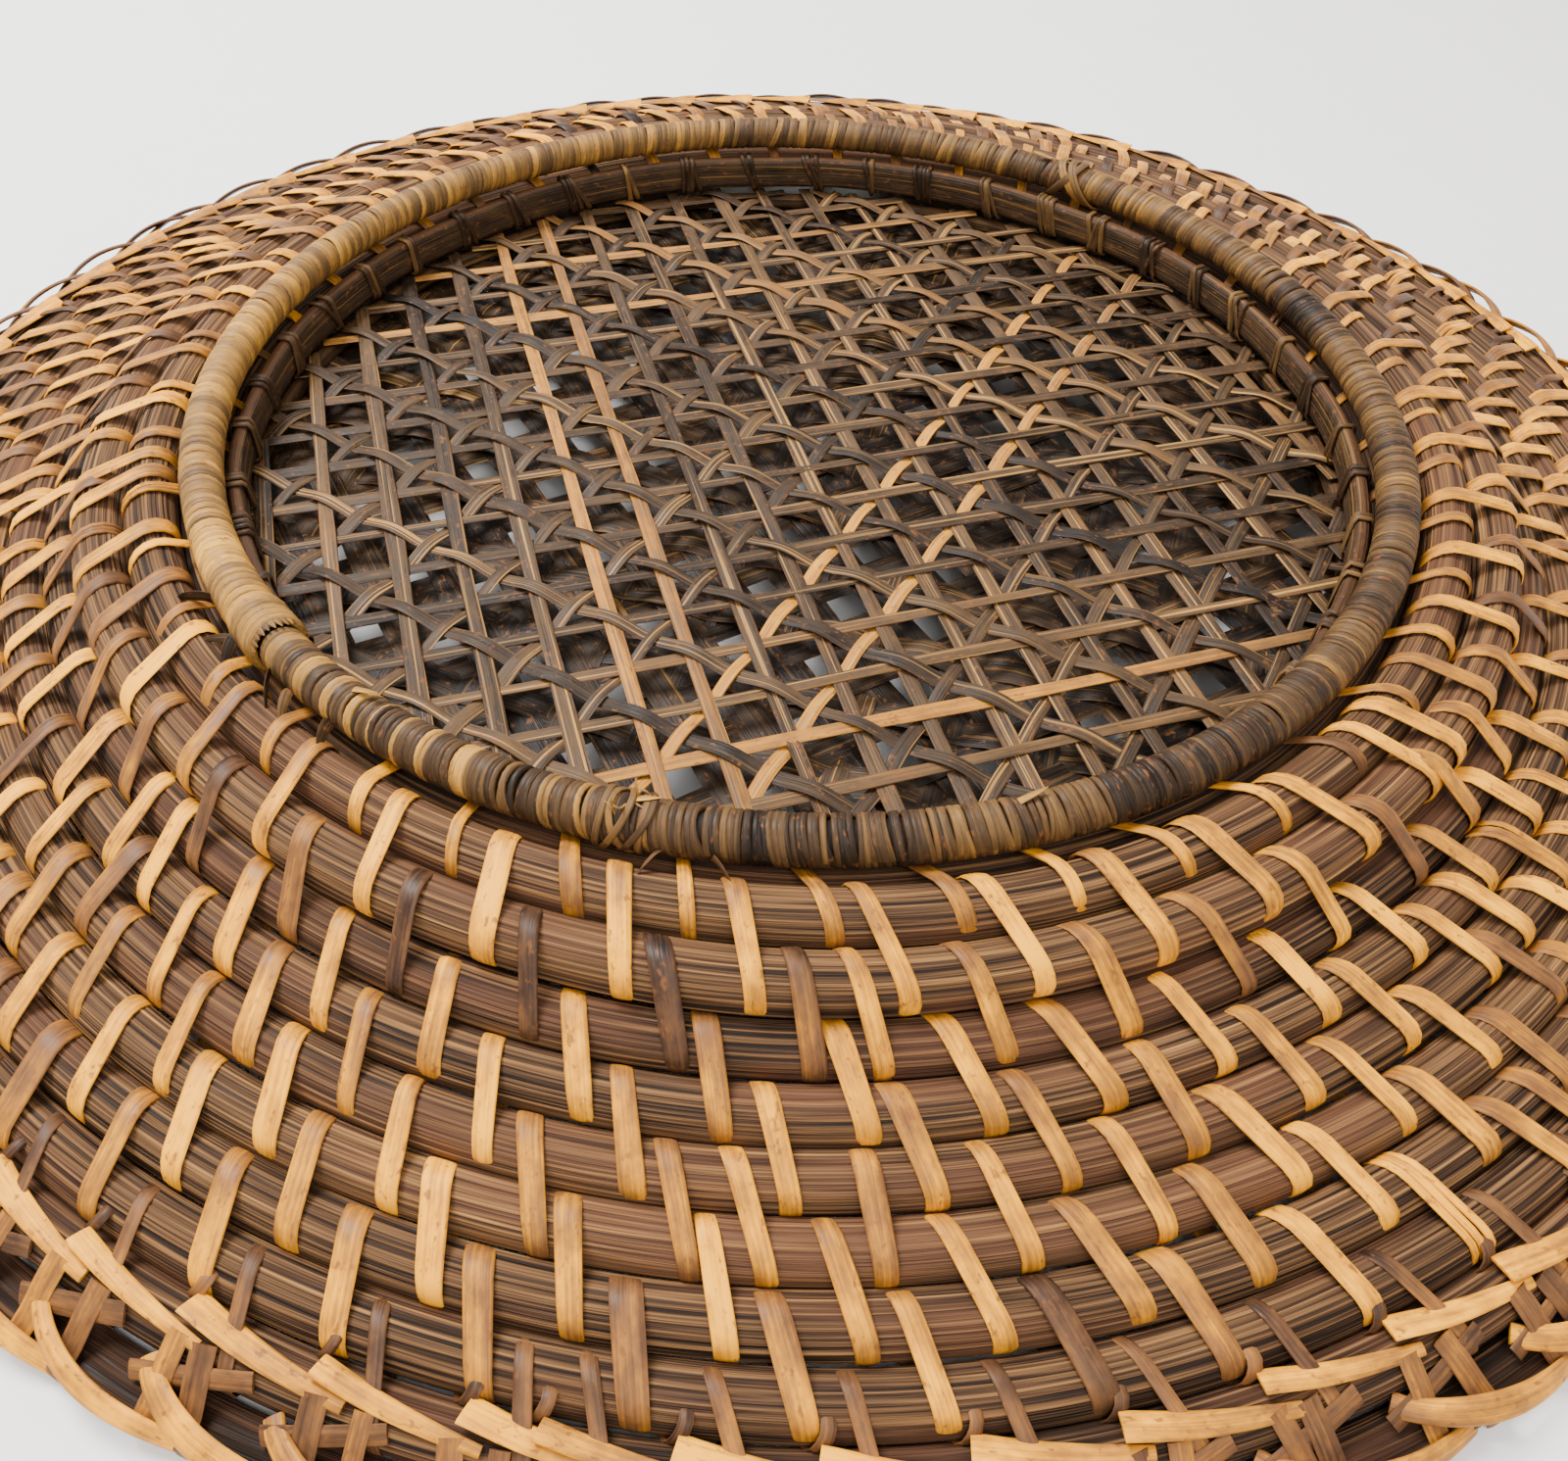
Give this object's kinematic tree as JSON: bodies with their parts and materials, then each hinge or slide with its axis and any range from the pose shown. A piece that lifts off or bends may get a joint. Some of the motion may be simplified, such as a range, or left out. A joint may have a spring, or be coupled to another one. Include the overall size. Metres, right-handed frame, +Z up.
{
  "type": "coiled basket",
  "caption": "Shallow wide-brimmed basket of coiled rattan rods sewn with flat cane, lying on its rim, with a wrapped foot ring and an open woven cane base.",
  "frame": {"origin": "centre of the rim, on the surface the basket lies on", "axes": "+Z up along the axis of the hoops, towards the foot ring; -Y towards the front"},
  "size_m": [0.4402, 0.44, 0.0387],
  "materials": {
    "rattan_rod": "peeled rattan, brown with dark and tan grain lines, satin",
    "stitch_cane": "golden flat cane, glossy skin side out",
    "wrap_cane": "fine cane, tan with darker brown stretches, satin",
    "woven_cane": "dark brown cane strands with fine pale grain lines, satin",
    "slat": "tan split-rattan slat, satin",
    "dark_tie_cane": "dark brown cane, satin",
    "border_cane": "golden flat cane with brown patches, satin"
  },
  "bodies": {
    "root": {"base_panel_cross_strands": "woven_cane", "base_panel_first_diagonal_strands": "woven_cane", "base_panel_second_diagonal_strands": "woven_cane", "base_panel_upright_strands": "woven_cane", "base_slat_hoop": "slat", "base_slat_ties": "dark_tie_cane", "base_spacer_hoop": "slat", "border_edge_hoop": "rattan_rod", "border_edge_strips": "border_cane", "border_strands": "border_cane", "coil_rod_0": "rattan_rod", "coil_rod_1": "rattan_rod", "coil_rod_2": "rattan_rod", "coil_rod_3": "rattan_rod", "coil_rod_4": "rattan_rod", "coil_rod_5": "rattan_rod", "coil_rod_6": "rattan_rod", "coil_rod_7": "rattan_rod", "coil_rod_8": "rattan_rod", "floor_hoop": "slat", "floor_panel_cross_strands": "woven_cane", "floor_panel_first_diagonal_strands": "woven_cane", "floor_panel_second_diagonal_strands": "woven_cane", "floor_panel_upright_strands": "woven_cane", "foot_ring_core": "rattan_rod", "foot_ring_end_ties": "wrap_cane", "foot_ring_wrap": "wrap_cane", "rim_rod": "rattan_rod", "stitches_0_to_1": "stitch_cane", "stitches_1_to_2": "stitch_cane", "stitches_2_to_3": "stitch_cane", "stitches_3_to_4": "stitch_cane", "stitches_4_to_5": "stitch_cane", "stitches_5_to_6": "stitch_cane", "stitches_6_to_7": "stitch_cane", "stitches_7_to_8": "stitch_cane", "stitches_8_to_rim": "stitch_cane"}
  },
  "joints": []
}
